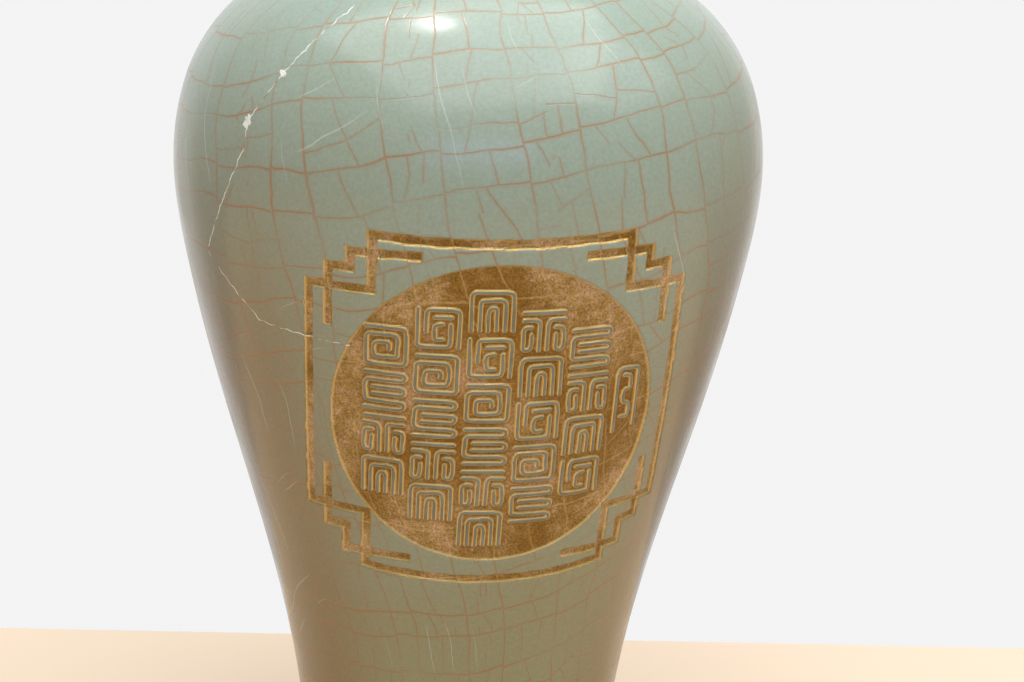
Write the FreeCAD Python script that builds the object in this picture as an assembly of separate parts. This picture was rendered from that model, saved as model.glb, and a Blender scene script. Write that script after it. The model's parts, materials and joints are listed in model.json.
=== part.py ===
"""Crackle-glazed plum vase (meiping) with a gilded cartouche sunk into its front.

The vase is thrown in sections that are luted together, glazed outside and inside, and gilded in the
sunk ground.
Frame: millimetres, +Z up, origin at the centre of the foot's resting face, cartouche facing -Y.
"""

import FreeCAD
import Part
import math
import os

# ---- the outline: radii and heights of the glazed surface ----
BELLY_R = 100.0            # widest radius
BELLY_Z = 242.0            # height of the widest line
FOOT_R = 54.5              # radius where the glaze ends above the foot
GLAZE_EDGE_Z = 6.0         # height of the glaze's lower edge: below it the foot is bare clay
# How the wall fills out between foot and belly, as shares of its height and of its swell
WALL_SHAPE = ((0.2725, 0.158), (0.4755, 0.406), (0.739, 0.774), (0.86, 0.91))
FOOT_LEAN = 0.03           # slope of the wall at the foot, radius per height
BELLY_ARC_R = 88.0         # the outline over the belly is a wide arc,
BELLY_ARC_END = 17.0       # up to this slope in degrees,
SHOULDER_ARC_R = 60.0      # then a tighter one over the shoulder,
SHOULDER_ARC_END = 60.0    # up to this slope,
CROWN_R = 25.8             # and one that turns level at this radius
THROAT_R = 18.5            # narrowest radius of the neck
COVE_R = 5.5               # radius of the hollow curve between shoulder and lip
LIP_R = 25.5               # outer radius of the rolled lip
LIP_ROLL_R = 3.4           # rounding of the rolled lip
MOUTH_ROLL_R = 3.0         # rounding between the lip's top and the bore
BORE_R = 13.0              # bore of the neck

# ---- thicknesses ----
RECESS = 1.0               # depth of the sunk cartouche
GLAZE_BED = 0.3            # glaze left under the sunk ground
GLAZE_T = RECESS + GLAZE_BED
GILDING_T = 0.15           # gold size and leaf
WALL_T = 5.0               # clay wall
FLOOR_T = 9.0              # clay floor
FLOOR_CORNER_R = 12.0      # rounding between floor and wall, inside

# ---- foot and joints in the clay ----
FOOT_WELL = 7.0            # depth of the hollow under the foot
BASE_GLAZE_T = 0.8         # glaze on the underside, inside the foot ring
FOOT_WIDTH = 8.0           # width of the foot ring
FOOT_CHAMFER = 1.2         # bevel of the foot ring's edges
BASE_DISC_R = 33.8         # disc set into the floor, at its lower face
BASE_DISC_LEAN = 3.0       # how much wider the disc is at its upper face
LOWER_LUTE_DROP = 135.5    # how far the lower joint lies below the belly
UPPER_LUTE_RISE = 12.0     # how far the upper joint lies above the belly
NECK_LUTE_OUT = 4.5        # how far the neck's joint lies outside the throat
LUTE_BEVEL = 1.5           # slant of each joint across the clay wall
COIL_R = 2.4               # clay coil pressed into the notch along each joint

# ---- cartouche: across from the centre line, and up from the medallion's centre, on the surface ----
CARTOUCHE_DROP = 64.8      # how far the medallion's centre lies below the belly
MEDALLION_R = 54.6         # radius of the round medallion
MEDALLION_POINTS = 24      # points that guide its outline
LINE_W = 3.1               # width of the frame's sunk lines
SIDE_U = 62.8              # side lines
STEP_U = 41.2              # where the top and bottom lines turn the corner
HOOK_IN_U = 48.4           # inner upright of each corner hook
HOOK_OUT_U = 55.8          # outer upright of each corner hook
BAR_END_U = 27.0           # free end of each corner hook's level bar
# Heights of the level lines, at the top and at the bottom
EDGE_V = (62.3, -60.0)     # top and bottom lines
BAR_V = (56.6, -54.8)      # level bars of the corner hooks
HOOK_STEP_V = (51.2, -45.6)
SHOULDER_V = (44.5, -38.2)
HOOK_END_V = (31.8, -23.0)

# ---- raised frets on the medallion: columns of cells, each drawn on a grid of six lines ----
FRET_W = 1.25              # width of a raised strip
FRET_TOP = 0.15            # how far the strips' tops lie below the glazed surface
CELL_PITCH = (2.6, 2.6)    # grid spacing, across and up
COLUMN_STEP = 16.4         # from column to column
FIRST_COLUMN_U = -36.2
COLUMN_ROWS = (4, 5, 6, 5, 4)
ROW_STEP = 16.2            # from cell to cell
COLUMN_MIDDLE_V = (1.4, 0.6, -1.4, -0.4, 0.6)
PANEL_U = 44.6             # small upright panel after the last column
PANEL_V = 3.6
PANEL_PITCH = (2.7, 2.6)

SPIRAL = (((0, 5), (5, 5), (5, 0), (0, 0), (0, 4), (4, 4), (4, 1), (1, 1), (1, 3), (3, 3), (3, 2)),)
KEYS = (((0, 5), (0, 0), (4, 0), (4, 3)), ((5, 0), (5, 5), (1, 5), (1, 2)), ((2, 4), (4, 4)),
        ((3, 3), (2, 3), (2, 1), (3, 1)))
WAVE = (((0, 5), (5, 5), (5, 4), (0, 4), (0, 1), (5, 1), (5, 0), (0, 0)), ((1, 3), (5, 3), (5, 2), (1, 2)))
ARCHES = (((0, 0), (0, 5), (5, 5), (5, 0)), ((1, 0), (1, 4), (4, 4), (4, 0)), ((2, 0), (2, 3), (3, 3), (3, 0)))
COMB = (((0, 5), (5, 5)), ((0, 4), (2, 4), (2, 0)), ((5, 4), (3, 4), (3, 0)),
        ((1, 3), (0, 3), (0, 0), (1, 0), (1, 2)), ((4, 3), (5, 3), (5, 0), (4, 0), (4, 2)))
MOTIFS = (SPIRAL, COMB, KEYS, WAVE, ARCHES)
CELL_LINES = (5, 5)        # grid spaces in a cell, across and up
PANEL_LINES = (3, 9)
PANEL_BORDER = ((0, 0), (0, 9), (3, 9), (3, 0.55))
PANEL_FRET = ((1, 8), (2, 8), (2, 6), (1, 6), (1, 4), (2, 4), (2, 2), (1, 2))

# ---- fills where chips in the shoulder were made good: angle round, height above the belly, radius ----
CHIP_FILLS = {"chip_fill_upper": (-46.7, 39.8, 1.9), "chip_fill_lower": (-52.2, 24.4, 2.6)}

SKIN = 1.0                 # how far cutting bands stand outside the surface
STAND = 6.0                # how far upright cutters reach past the surface


# ---- profile curves, drawn in the X-Z plane ----
def flat(r, z):
    """Point of the profile plane."""
    return FreeCAD.Vector(r, 0, z)


def out_of(way):
    """Direction out of the vase where the profile runs along way."""
    return flat(way.z, -way.x)


def smooth_rise(points):
    """Curve through points of the wall, with the wall's slopes at the foot and at the belly."""
    runs = [0.0]
    for a, b in zip(points, points[1:]):
        runs.append(runs[-1] + a.distanceToPoint(b))
    curve = Part.BSplineCurve()
    curve.interpolate(Points=points, Parameters=runs, InitialTangent=flat(FOOT_LEAN, 1),
                      FinalTangent=flat(0, 1), Scale=False)
    return curve


def wall_curve(offset=0.0):
    """Wall from the glaze's lower edge up to the belly, moved inwards from the glazed surface by offset."""
    points = []
    for height, swell in ((0, 0),) + WALL_SHAPE + ((1, 1),):
        r = FOOT_R + swell * (BELLY_R - FOOT_R)
        points.append(flat(r, GLAZE_EDGE_Z + height * (BELLY_Z - GLAZE_EDGE_Z)))
    glazed = smooth_rise(points)
    if offset == 0:
        return glazed
    return smooth_rise([p - out_of(glazed.tangent(glazed.parameter(p))[0]) * offset for p in points])


def rising_parameter(curve, z):
    """Parameter where a rising curve reaches height z."""
    low, high = curve.FirstParameter, curve.LastParameter
    while high - low > 1e-9:
        middle = (low + high) / 2
        if curve.value(middle).z < z:
            low = middle
        else:
            high = middle
    return low


def towards(degrees):
    """Direction at an angle counted from +X towards +Z."""
    return flat(math.cos(math.radians(degrees)), math.sin(math.radians(degrees)))


def arc(centre, radius, start, end):
    """Circular edge between two angles in degrees, counted from +X towards +Z."""
    angles = (start, (start + end) / 2, end)
    return Part.Arc(*[centre + towards(angle) * radius for angle in angles]).toShape()


def direction(start, end):
    return math.degrees(math.atan2(end.z - start.z, end.x - start.x))


BELLY_C = flat(BELLY_R - BELLY_ARC_R, BELLY_Z)
SHOULDER_C = BELLY_C + towards(BELLY_ARC_END) * (BELLY_ARC_R - SHOULDER_ARC_R)
CROWN_ARC_R = SHOULDER_ARC_R + (SHOULDER_C.x - CROWN_R) / math.cos(math.radians(SHOULDER_ARC_END))
CROWN_C = SHOULDER_C + towards(SHOULDER_ARC_END) * (SHOULDER_ARC_R - CROWN_ARC_R)
COVE_X = THROAT_R + COVE_R
COVE_C = flat(COVE_X, CROWN_C.z + math.sqrt((CROWN_ARC_R + COVE_R) ** 2 - (COVE_X - CROWN_R) ** 2))
LIP_X = LIP_R - LIP_ROLL_R
LIP_C = flat(LIP_X, COVE_C.z + math.sqrt((COVE_R + LIP_ROLL_R) ** 2 - (LIP_X - COVE_X) ** 2))
HEIGHT = LIP_C.z + LIP_ROLL_R
MOUTH_C = flat(BORE_R + MOUTH_ROLL_R, HEIGHT - MOUTH_ROLL_R)
TO_COVE = direction(CROWN_C, COVE_C)
TO_LIP = direction(COVE_C, LIP_C)
ROOF_Z = CROWN_C.z + CROWN_ARC_R - GLAZE_T - WALL_T     # underside of the clay at the crown


def dome(offset, end):
    """Arcs from the belly over the shoulder and the crown up to slope end, moved inwards by offset."""
    return [
        arc(BELLY_C, BELLY_ARC_R - offset, 0, BELLY_ARC_END),
        arc(SHOULDER_C, SHOULDER_ARC_R - offset, BELLY_ARC_END, SHOULDER_ARC_END),
        arc(CROWN_C, CROWN_ARC_R - offset, SHOULDER_ARC_END, end),
    ]


def outline(offset):
    """Edges from the glaze's lower edge over shoulder and lip to the bore, moved inwards by offset."""
    return [
        wall_curve(offset).toShape(),
        *dome(offset, TO_COVE),
        arc(COVE_C, COVE_R + offset, TO_COVE + 180, TO_LIP),
        arc(LIP_C, LIP_ROLL_R - offset, TO_LIP - 180, 90),
        Part.makeLine(flat(LIP_X, HEIGHT - offset), flat(MOUTH_C.x, HEIGHT - offset)),
        arc(MOUTH_C, MOUTH_ROLL_R - offset, 90, 180),
    ]


def lines(*corners):
    """Straight edges from corner to corner, given as radius and height."""
    points = [flat(*corner) for corner in corners]
    return [Part.makeLine(a, b) for a, b in zip(points, points[1:])]


def region(edges):
    """Flat region of the vase's half section inside the closed outline that the edges make."""
    return Part.Face(Part.Wire(Part.__sortEdges__(edges)))


def zone(*corners):
    """Flat region of the half section given by its corners."""
    return region(lines(*corners, corners[0]))


def spun(flat_region):
    """Solid turned about the vase's axis from a flat region."""
    return flat_region.Faces[0].revolve(flat(0, 0), flat(0, 1), 360).Solids[0]


def turned(edges):
    """Solid turned about the vase's axis from the closed outline that the edges make."""
    return spun(region(edges))


def inline(skin):
    """Edges of the clay's inner surface from the floor's middle to the bore, moved into the room by skin."""
    wall = wall_curve(GLAZE_T + WALL_T + skin)
    floor_z = FOOT_WELL + FLOOR_T + skin
    corner = FLOOR_CORNER_R - skin
    start = rising_parameter(wall, floor_z + corner)
    wall_x = wall.value(start).x
    bore = BORE_R + GLAZE_T - skin
    return [
        *lines((0, floor_z), (wall_x - corner, floor_z)),
        arc(flat(wall_x - corner, floor_z + corner), corner, -90, 0),
        wall.toShape(start, wall.LastParameter),
        *dome(GLAZE_T + WALL_T + skin, 90),
        *lines((CROWN_R, ROOF_Z - skin), (bore, ROOF_Z - skin), (bore, MOUTH_C.z)),
    ]


def band(shallow, deep):
    """Layer of the wall between two depths below the glazed surface."""
    outer = wall_curve(shallow)
    inner = wall_curve(deep)
    ends = [Part.makeLine(outer.StartPoint, inner.StartPoint), Part.makeLine(outer.EndPoint, inner.EndPoint)]
    return turned([outer.toShape(), inner.toShape()] + ends)


# ---- clay ----
def radius_at(offset, z):
    """Radius of the moved outline's wall or belly arc at height z."""
    if z > BELLY_Z:
        return BELLY_C.x + math.sqrt((BELLY_ARC_R - offset) ** 2 - (z - BELLY_Z) ** 2)
    curve = wall_curve(offset)
    return curve.value(rising_parameter(curve, z)).x


def make_clay():
    """Clay pieces, by name: the luted sections, the disc set into the floor and the joints' coils. All are
    divided flat, in the half section, and turned afterwards."""
    edge = wall_curve(GLAZE_T).StartPoint
    ring_in = edge.x - FOOT_WIDTH
    c = FOOT_CHAMFER
    foot = lines((edge.x, edge.z), (edge.x, c), (edge.x - c, 0), (ring_in + c, 0), (ring_in, c),
                 (ring_in, FOOT_WELL), (0, FOOT_WELL), (0, FOOT_WELL + FLOOR_T))
    clay = region(outline(GLAZE_T) + inline(0) + foot)

    lower_z = BELLY_Z - LOWER_LUTE_DROP
    upper_z = BELLY_Z + UPPER_LUTE_RISE
    neck_r = THROAT_R + NECK_LUTE_OUT
    neck_z = COVE_C.z - math.sqrt((COVE_R + GLAZE_T) ** 2 - (neck_r - COVE_X) ** 2)
    wide = BELLY_R + STAND
    b = LUTE_BEVEL
    top = HEIGHT + STAND
    slant = b / WALL_T

    def joint(z):
        """Slanting joint across the clay at height z, from inside to outside."""
        outside = radius_at(GLAZE_T, z)
        return (0, z - slant * outside), (wide, z + slant * (wide - outside))

    floor_z = FOOT_WELL + FLOOR_T
    disc_top = (BASE_DISC_R + BASE_DISC_LEAN, floor_z)
    disc = zone((0, 0), (BASE_DISC_R, 0), (BASE_DISC_R, FOOT_WELL), disc_top, (0, floor_z))
    neck = zone((0, neck_z - 2 * WALL_T), (neck_r - b, neck_z - 2 * WALL_T), (neck_r, neck_z),
                (neck_r + b, COVE_C.z), (wide, COVE_C.z), (wide, top), (0, top))
    below_lower = zone(*joint(lower_z), (wide, -STAND), (0, -STAND))
    below_upper = zone(*joint(upper_z), (wide, -STAND), (0, -STAND))
    middles = {
        "lower_lute_coil": flat(radius_at(GLAZE_T, lower_z), lower_z),
        "upper_lute_coil": flat(radius_at(GLAZE_T, upper_z), upper_z),
        "neck_lute_coil": flat(neck_r, neck_z),
    }
    across = FreeCAD.Vector(0, 1, 0)
    coils = {name: region([Part.makeCircle(COIL_R, middle, across)]) for name, middle in middles.items()}
    pieces = {name: clay.common(coil) for name, coil in coils.items()}
    for coil in coils.values():
        clay = clay.cut(coil)
    pieces["base_disc"] = clay.common(disc)
    pieces["foot_section"] = clay.common(below_lower).cut(disc)
    pieces["belly_section"] = clay.common(below_upper).cut(below_lower)
    pieces["neck"] = clay.common(neck)
    pieces["shoulder_section"] = clay.cut(below_upper).cut(neck)
    return {name: spun(piece) for name, piece in pieces.items()}


# ---- cartouche ----
WALL = wall_curve()
CENTRE = rising_parameter(WALL, BELLY_Z - CARTOUCHE_DROP)


def spot(u, v):
    """Point of the glazed surface u across and v up from the medallion's centre, and the way out of it."""
    at = WALL.parameterAtDistance(v, CENTRE)
    point = WALL.value(at)
    turn = FreeCAD.Rotation(flat(0, 1), math.degrees(u / point.x) - 90)
    return turn.multVec(point), turn.multVec(out_of(WALL.tangent(at)[0]))


def tablet(corners, smooth=False):
    """Solid standing through the wall over an outline on the surface, its sides square to the surface."""
    wires = []
    for y in (-0.4 * BELLY_R, -BELLY_R - STAND):
        points = []
        for corner in corners:
            point, out = spot(*corner)
            points.append(point + out * ((y - point.y) / out.y))
        if smooth:
            curve = Part.BSplineCurve()
            curve.interpolate(Points=points, PeriodicFlag=True, Parameters=list(range(len(points) + 1)))
            wires.append(Part.Wire(curve.toShape()))
        else:
            wires.append(Part.makePolygon(points + points[:1]))
    return Part.makeLoft(wires, True, True)


def rail(path, shift, closed=False):
    """The path moved sideways by shift, its corners mitred."""
    count = len(path)
    ways = []
    for (u0, v0), (u1, v1) in zip(path, path[1:] + path[:1]):
        length = math.hypot(u1 - u0, v1 - v0)
        ways.append(((v0 - v1) / length, (u1 - u0) / length))
    moved = []
    for i, (u, v) in enumerate(path):
        before = ways[i - 1] if closed or i > 0 else ways[0]
        after = ways[i] if closed or i < count - 1 else ways[i - 1]
        scale = shift / (1 + before[0] * after[0] + before[1] * after[1])
        moved.append((u + scale * (before[0] + after[0]), v + scale * (before[1] + after[1])))
    return moved


def strip(path, width):
    """Outline of a strip of the given width along an open path, its ends square and half a width longer."""
    path = list(path)
    for end, inner in ((0, 1), (-1, -2)):
        length = math.dist(path[end], path[inner])
        path[end] = tuple(e + (e - i) / length * width / 2 for e, i in zip(path[end], path[inner]))
    return rail(path, width / 2) + rail(path, -width / 2)[::-1]


def frame_cutter():
    """The frame's one continuous line, stepped in at each corner."""
    top, bottom = EDGE_V
    half = [(STEP_U, top), (STEP_U, SHOULDER_V[0]), (SIDE_U, SHOULDER_V[0]),
            (SIDE_U, SHOULDER_V[1]), (STEP_U, SHOULDER_V[1]), (STEP_U, bottom)]
    path = half + [(-u, v) for u, v in half[::-1]]
    return tablet(rail(path, LINE_W / 2, True)).cut(tablet(rail(path, -LINE_W / 2, True)))


def hook_cutters():
    """The four hooks that cross the frame's corners, by name."""
    hooks = {}
    for end, level in enumerate(("top", "bottom")):
        for side, hand in ((-1, "left"), (1, "right")):
            path = [(BAR_END_U, BAR_V[end]), (HOOK_IN_U, BAR_V[end]), (HOOK_IN_U, HOOK_STEP_V[end]),
                    (HOOK_OUT_U, HOOK_STEP_V[end]), (HOOK_OUT_U, HOOK_END_V[end])]
            outline_points = strip([(side * u, v) for u, v in path], LINE_W)
            hooks[f"hook_gilding_{level}_{hand}"] = tablet(outline_points)
    return hooks


def prism(centre, lines, pitch, path):
    """Upright strip over a path given in grid spaces, standing square on the surface at the cell's centre."""
    middle, out = spot(*centre)
    right = flat(0, 1).cross(out)
    up = out.cross(right)
    sized = [((x - lines[0] / 2) * pitch[0], (y - lines[1] / 2) * pitch[1]) for x, y in path]
    corners = [middle + right * x + up * y - out * STAND for x, y in strip(sized, FRET_W)]
    return Part.Face(Part.makePolygon(corners + corners[:1])).extrude(out * 2 * STAND)


def fret_cutters():
    """Upright strips of each fret column, by name."""
    columns = {}
    for column, rows in enumerate(COLUMN_ROWS):
        strips = []
        for row in range(rows):
            middle = COLUMN_MIDDLE_V[column] + ((rows - 1) / 2 - row) * ROW_STEP
            centre = (FIRST_COLUMN_U + column * COLUMN_STEP, middle)
            motif = MOTIFS[(2 * column + 3 * row) % len(MOTIFS)]
            strips += [prism(centre, CELL_LINES, CELL_PITCH, path) for path in motif]
        columns[f"fret_column_{column + 1}"] = strips
    panel = (PANEL_U, PANEL_V)
    panel_paths = (PANEL_BORDER, PANEL_FRET)
    columns["fret_panel"] = [prism(panel, PANEL_LINES, PANEL_PITCH, path) for path in panel_paths]
    return columns


def chip_cutter(angle, rise, radius):
    """Round pin through the glaze of the shoulder."""
    centre, arc_r = BELLY_C, BELLY_ARC_R
    if rise > BELLY_ARC_R * math.sin(math.radians(BELLY_ARC_END)):
        centre, arc_r = SHOULDER_C, SHOULDER_ARC_R
    out = towards(math.degrees(math.asin((BELLY_Z + rise - centre.z) / arc_r)))
    turn = FreeCAD.Rotation(flat(0, 1), angle - 90)
    foot = turn.multVec(centre + out * (arc_r - GLAZE_T))
    return Part.makeCylinder(radius, STAND, foot, turn.multVec(out))


def as_one(solids):
    found = [s for shape in solids for s in shape.Solids]
    return found[0] if len(found) == 1 else Part.makeCompound(found)


def make_all():
    pieces = make_clay()
    edge = wall_curve(GLAZE_T).StartPoint
    mouth = lines((BORE_R, MOUTH_C.z), (BORE_R + GLAZE_T, MOUTH_C.z))
    foot_edge = [Part.makeLine(WALL.StartPoint, edge)]
    glaze = turned(outline(0) + outline(GLAZE_T) + foot_edge + mouth)
    floor_z = FOOT_WELL + FLOOR_T
    floor_edge = lines((0, floor_z), (0, floor_z + GLAZE_T))
    pieces["inner_glaze"] = turned(inline(0) + inline(GLAZE_T) + mouth + floor_edge)
    under = flat(0, FOOT_WELL - BASE_GLAZE_T)
    pieces["base_glaze"] = Part.makeCylinder(edge.x - FOOT_WIDTH, BASE_GLAZE_T, under)

    for name, (angle, rise, radius) in CHIP_FILLS.items():
        pin = chip_cutter(angle, rise, radius)
        pieces[name] = glaze.common(pin)
        glaze = glaze.cut(pin)

    turns = [2 * math.pi * i / MEDALLION_POINTS for i in range(MEDALLION_POINTS)]
    medallion = tablet([(MEDALLION_R * math.cos(a), MEDALLION_R * math.sin(a)) for a in turns], True)
    frame = frame_cutter()
    hooks = hook_cutters()
    sunk = band(-SKIN, RECESS)
    for cutter in [medallion, frame] + list(hooks.values()):
        glaze = glaze.cut(cutter.common(sunk))
    pieces["outer_glaze"] = glaze

    leaf = band(RECESS - GILDING_T, RECESS)
    raised = band(FRET_TOP, RECESS)
    frets = fret_cutters()
    strips = [s for column in frets.values() for s in column]
    pieces["medallion_gilding"] = medallion.common(leaf).cut(strips)
    pieces["frame_gilding"] = frame.common(leaf)
    for name, hook in hooks.items():
        pieces[name] = hook.common(leaf).cut(frame)
    for name, column in frets.items():
        pieces[name] = as_one([s.common(raised) for s in column])
    return pieces


os.makedirs("parts", exist_ok=True)
for node, shape in make_all().items():
    shape = as_one([shape])
    if not shape.isValid():
        raise ValueError(f"{node} is not a valid shape")
    shape.exportStep(f"parts/{node}.step")
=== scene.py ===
import json
import math

import bpy
import numpy as np
from mathutils import Matrix, Vector


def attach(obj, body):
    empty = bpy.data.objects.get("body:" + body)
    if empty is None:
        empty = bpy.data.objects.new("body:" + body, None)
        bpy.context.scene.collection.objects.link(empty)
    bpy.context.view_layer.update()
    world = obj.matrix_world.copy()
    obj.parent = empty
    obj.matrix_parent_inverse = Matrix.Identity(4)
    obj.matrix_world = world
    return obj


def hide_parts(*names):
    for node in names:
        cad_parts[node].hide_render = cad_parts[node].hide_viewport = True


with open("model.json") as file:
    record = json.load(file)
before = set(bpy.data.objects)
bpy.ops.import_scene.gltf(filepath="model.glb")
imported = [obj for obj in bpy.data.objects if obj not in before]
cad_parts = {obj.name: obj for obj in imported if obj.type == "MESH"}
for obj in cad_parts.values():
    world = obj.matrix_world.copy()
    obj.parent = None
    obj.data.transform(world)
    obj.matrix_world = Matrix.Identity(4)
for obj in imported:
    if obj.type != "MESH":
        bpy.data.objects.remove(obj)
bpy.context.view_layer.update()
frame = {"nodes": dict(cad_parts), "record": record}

MM = 0.001

# ---- the vase's own sizes, in millimetres, as in its CAD model ----
BELLY_R, BELLY_Z = 100.0, 242.0
FOOT_R, GLAZE_EDGE_Z = 54.5, 6.0
WALL_SHAPE = ((0.2725, 0.158), (0.4755, 0.406), (0.739, 0.774), (0.86, 0.91))
FOOT_LEAN = 0.03
BELLY_ARC_R, BELLY_ARC_END = 88.0, 17.0
SHOULDER_ARC_R, SHOULDER_ARC_END = 60.0, 60.0
CROWN_R = 25.8
THROAT_R, COVE_R = 18.5, 5.5
LIP_R, LIP_ROLL_R = 25.5, 3.4
MOUTH_ROLL_R, BORE_R = 3.0, 13.0
RECESS, GLAZE_T = 1.0, 1.3
CARTOUCHE_DROP, MEDALLION_R, LINE_W = 64.8, 54.6, 3.1
SIDE_U, STEP_U, HOOK_IN_U, HOOK_OUT_U, BAR_END_U = 62.8, 41.2, 48.4, 55.8, 27.0
EDGE_V, BAR_V, HOOK_STEP_V = (62.3, -60.0), (56.6, -54.8), (51.2, -45.6)
SHOULDER_V, HOOK_END_V = (44.5, -38.2), (31.8, -23.0)
EDGE_BOW = (-1.2, -2.4)       # how far the top and bottom lines hang at their middles
FRET_W, FRET_TOP, CELL_PITCH = 1.25, 0.15, (2.6, 2.6)
COLUMN_STEP, FIRST_COLUMN_U, ROW_STEP = 16.4, -36.2, 16.2
COLUMN_ROWS, COLUMN_MIDDLE_V = (4, 5, 6, 5, 4), (1.4, 0.6, -1.4, -0.4, 0.6)
PANEL_U, PANEL_V, PANEL_PITCH = 44.6, 3.6, (2.7, 2.6)
CELL_LINES, PANEL_LINES = (5, 5), (3, 9)

SPIRAL = (((0, 5), (5, 5), (5, 0), (0, 0), (0, 4), (4, 4), (4, 1), (1, 1), (1, 3), (3, 3), (3, 2)),)
KEYS = (((0, 5), (0, 0), (4, 0), (4, 3)), ((5, 0), (5, 5), (1, 5), (1, 2)), ((2, 4), (4, 4)),
        ((3, 3), (2, 3), (2, 1), (3, 1)))
WAVE = (((0, 5), (5, 5), (5, 4), (0, 4), (0, 1), (5, 1), (5, 0), (0, 0)), ((1, 3), (5, 3), (5, 2), (1, 2)))
ARCHES = (((0, 0), (0, 5), (5, 5), (5, 0)), ((1, 0), (1, 4), (4, 4), (4, 0)),
          ((2, 0), (2, 3), (3, 3), (3, 0)))
COMB = (((0, 5), (5, 5)), ((0, 4), (2, 4), (2, 0)), ((5, 4), (3, 4), (3, 0)),
        ((1, 3), (0, 3), (0, 0), (1, 0), (1, 2)), ((4, 3), (5, 3), (5, 0), (4, 0), (4, 2)))
MOTIFS = (SPIRAL, COMB, KEYS, WAVE, ARCHES)
PANEL = (((0, 0), (0, 9), (3, 9), (3, 0.55)),
         ((1, 8), (2, 8), (2, 6), (1, 6), (1, 4), (2, 4), (2, 2), (1, 2)))

# The mend: angle round and height over the belly, and the chips' radii. The break runs from high on the
# shoulder through both chips, swings out to the side, turns back and ends level at the frame's corner.
CHIPS = {"chip_fill_upper": (-46.7, 39.8, 1.5), "chip_fill_lower": (-52.2, 24.4, 2.1)}
SEAM_TOP, SEAM_DROP, SEAM_TURN = (-38, 60), (-52, 16), (-65, -21)
SEAM_KNEE, SEAM_END = (-50, -39), (-29, -41)

# ---- crackle, in millimetres ----
AROUND_CELLS, CELL_WIDTH, CELL_HEIGHT = 27, 21.0, 15.5     # cells round the vase, and their size
SHOULDER_SWEEP = 73.0         # mean radius of the shoulder's curve, by which its crackle is laid out
COLUMN_LEAN, ROW_RISE = 0.16, -0.15
WANDERS = ((13, 22), (48, 5), (420, 0.6))                  # noise scale, and how far it moves the lines
SPLITS = ((25, 0.85), (19, 0.8), (16, 0.65))               # least cell that splits, and the crack's strength
# Young hairlines: slant as shares of round and up, spacing, key, and noise level over which they show
HAIRLINES = ((1.0, 0.3, 17.0, 7.3, 0.59), (0.55, -0.85, 19.0, 8.9, 0.61))

# ---- mesh fineness, in millimetres ----
FINE = 0.36                   # over the cartouche
COARSE = 2.2                  # elsewhere
REACH = 66                    # half the side of the finely meshed square round the cartouche
SKIRT = 0.55                  # how far the gilding runs on under the glaze's lip


# ---- the turned outline ----
def clamped_spline(knots, values, start, end):
    """Smooth curve through values at knots with the given end slopes, sampled every half millimetre."""
    count = len(knots)
    gap = np.diff(knots)
    system, right = np.eye(count), np.zeros(count)
    right[0], right[-1] = start, end
    for i in range(1, count - 1):
        before, after = gap[i - 1], gap[i]
        system[i, i - 1:i + 2] = after, 2 * (before + after), before
        rises = after * (values[i] - values[i - 1]) / before, before * (values[i + 1] - values[i]) / after
        right[i] = 3 * sum(rises)
    slope = np.linalg.solve(system, right)
    at = np.linspace(knots[0], knots[-1], int(2 * knots[-1]))
    i = np.clip(np.searchsorted(knots, at) - 1, 0, count - 2)
    t = (at - knots[i]) / gap[i]
    low, high = values[i], values[i + 1]
    bend = (slope[i] * (1 - t) - slope[i + 1] * t) * gap[i] - (high - low) * (1 - 2 * t)
    return low + t * (high - low) + t * (1 - t) * bend


def towards(degrees):
    return np.array((math.cos(math.radians(degrees)), math.sin(math.radians(degrees))))


def arc(centre, radius, start, end):
    """Points of a circle between two angles in degrees, the first one left out."""
    turn = np.radians(np.linspace(start, end, max(4, int(abs(end - start) * radius / 30)))[1:])
    return np.stack([centre[0] + radius * np.cos(turn), centre[1] + radius * np.sin(turn)], 1)


def profile():
    """Radius and height of the glazed surface from the glaze's lower edge over the lip to the bore."""
    stations = np.array(((0, 0),) + WALL_SHAPE + ((1, 1),))
    r = FOOT_R + stations[:, 1] * (BELLY_R - FOOT_R)
    z = GLAZE_EDGE_Z + stations[:, 0] * (BELLY_Z - GLAZE_EDGE_Z)
    knots = np.concatenate([[0], np.cumsum(np.hypot(np.diff(r), np.diff(z)))])
    wall = np.stack([clamped_spline(knots, r, FOOT_LEAN, 0), clamped_spline(knots, z, 1, 1)], 1)
    belly = np.array((BELLY_R - BELLY_ARC_R, BELLY_Z))
    shoulder = belly + (BELLY_ARC_R - SHOULDER_ARC_R) * towards(BELLY_ARC_END)
    crown_r = SHOULDER_ARC_R + (shoulder[0] - CROWN_R) / towards(SHOULDER_ARC_END)[0]
    crown = shoulder + (SHOULDER_ARC_R - crown_r) * towards(SHOULDER_ARC_END)
    cove_x, lip_x = THROAT_R + COVE_R, LIP_R - LIP_ROLL_R
    cove = np.array((cove_x, crown[1] + math.sqrt((crown_r + COVE_R) ** 2 - (cove_x - CROWN_R) ** 2)))
    lip = np.array((lip_x, cove[1] + math.sqrt((COVE_R + LIP_ROLL_R) ** 2 - (lip_x - cove_x) ** 2)))
    mouth = (BORE_R + MOUTH_ROLL_R, lip[1] + LIP_ROLL_R - MOUTH_ROLL_R)
    to_cove = math.degrees(math.atan2(*(cove - crown)[::-1]))
    to_lip = math.degrees(math.atan2(*(lip - cove)[::-1]))
    return np.concatenate([
        wall,
        arc(belly, BELLY_ARC_R, 0, BELLY_ARC_END),
        arc(shoulder, SHOULDER_ARC_R, BELLY_ARC_END, SHOULDER_ARC_END),
        arc(crown, crown_r, SHOULDER_ARC_END, to_cove),
        arc(cove, COVE_R, to_cove + 180, to_lip),
        arc(lip, LIP_ROLL_R, to_lip - 180, 90),
        arc(mouth, MOUTH_ROLL_R, 90, 180),
    ])


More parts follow.
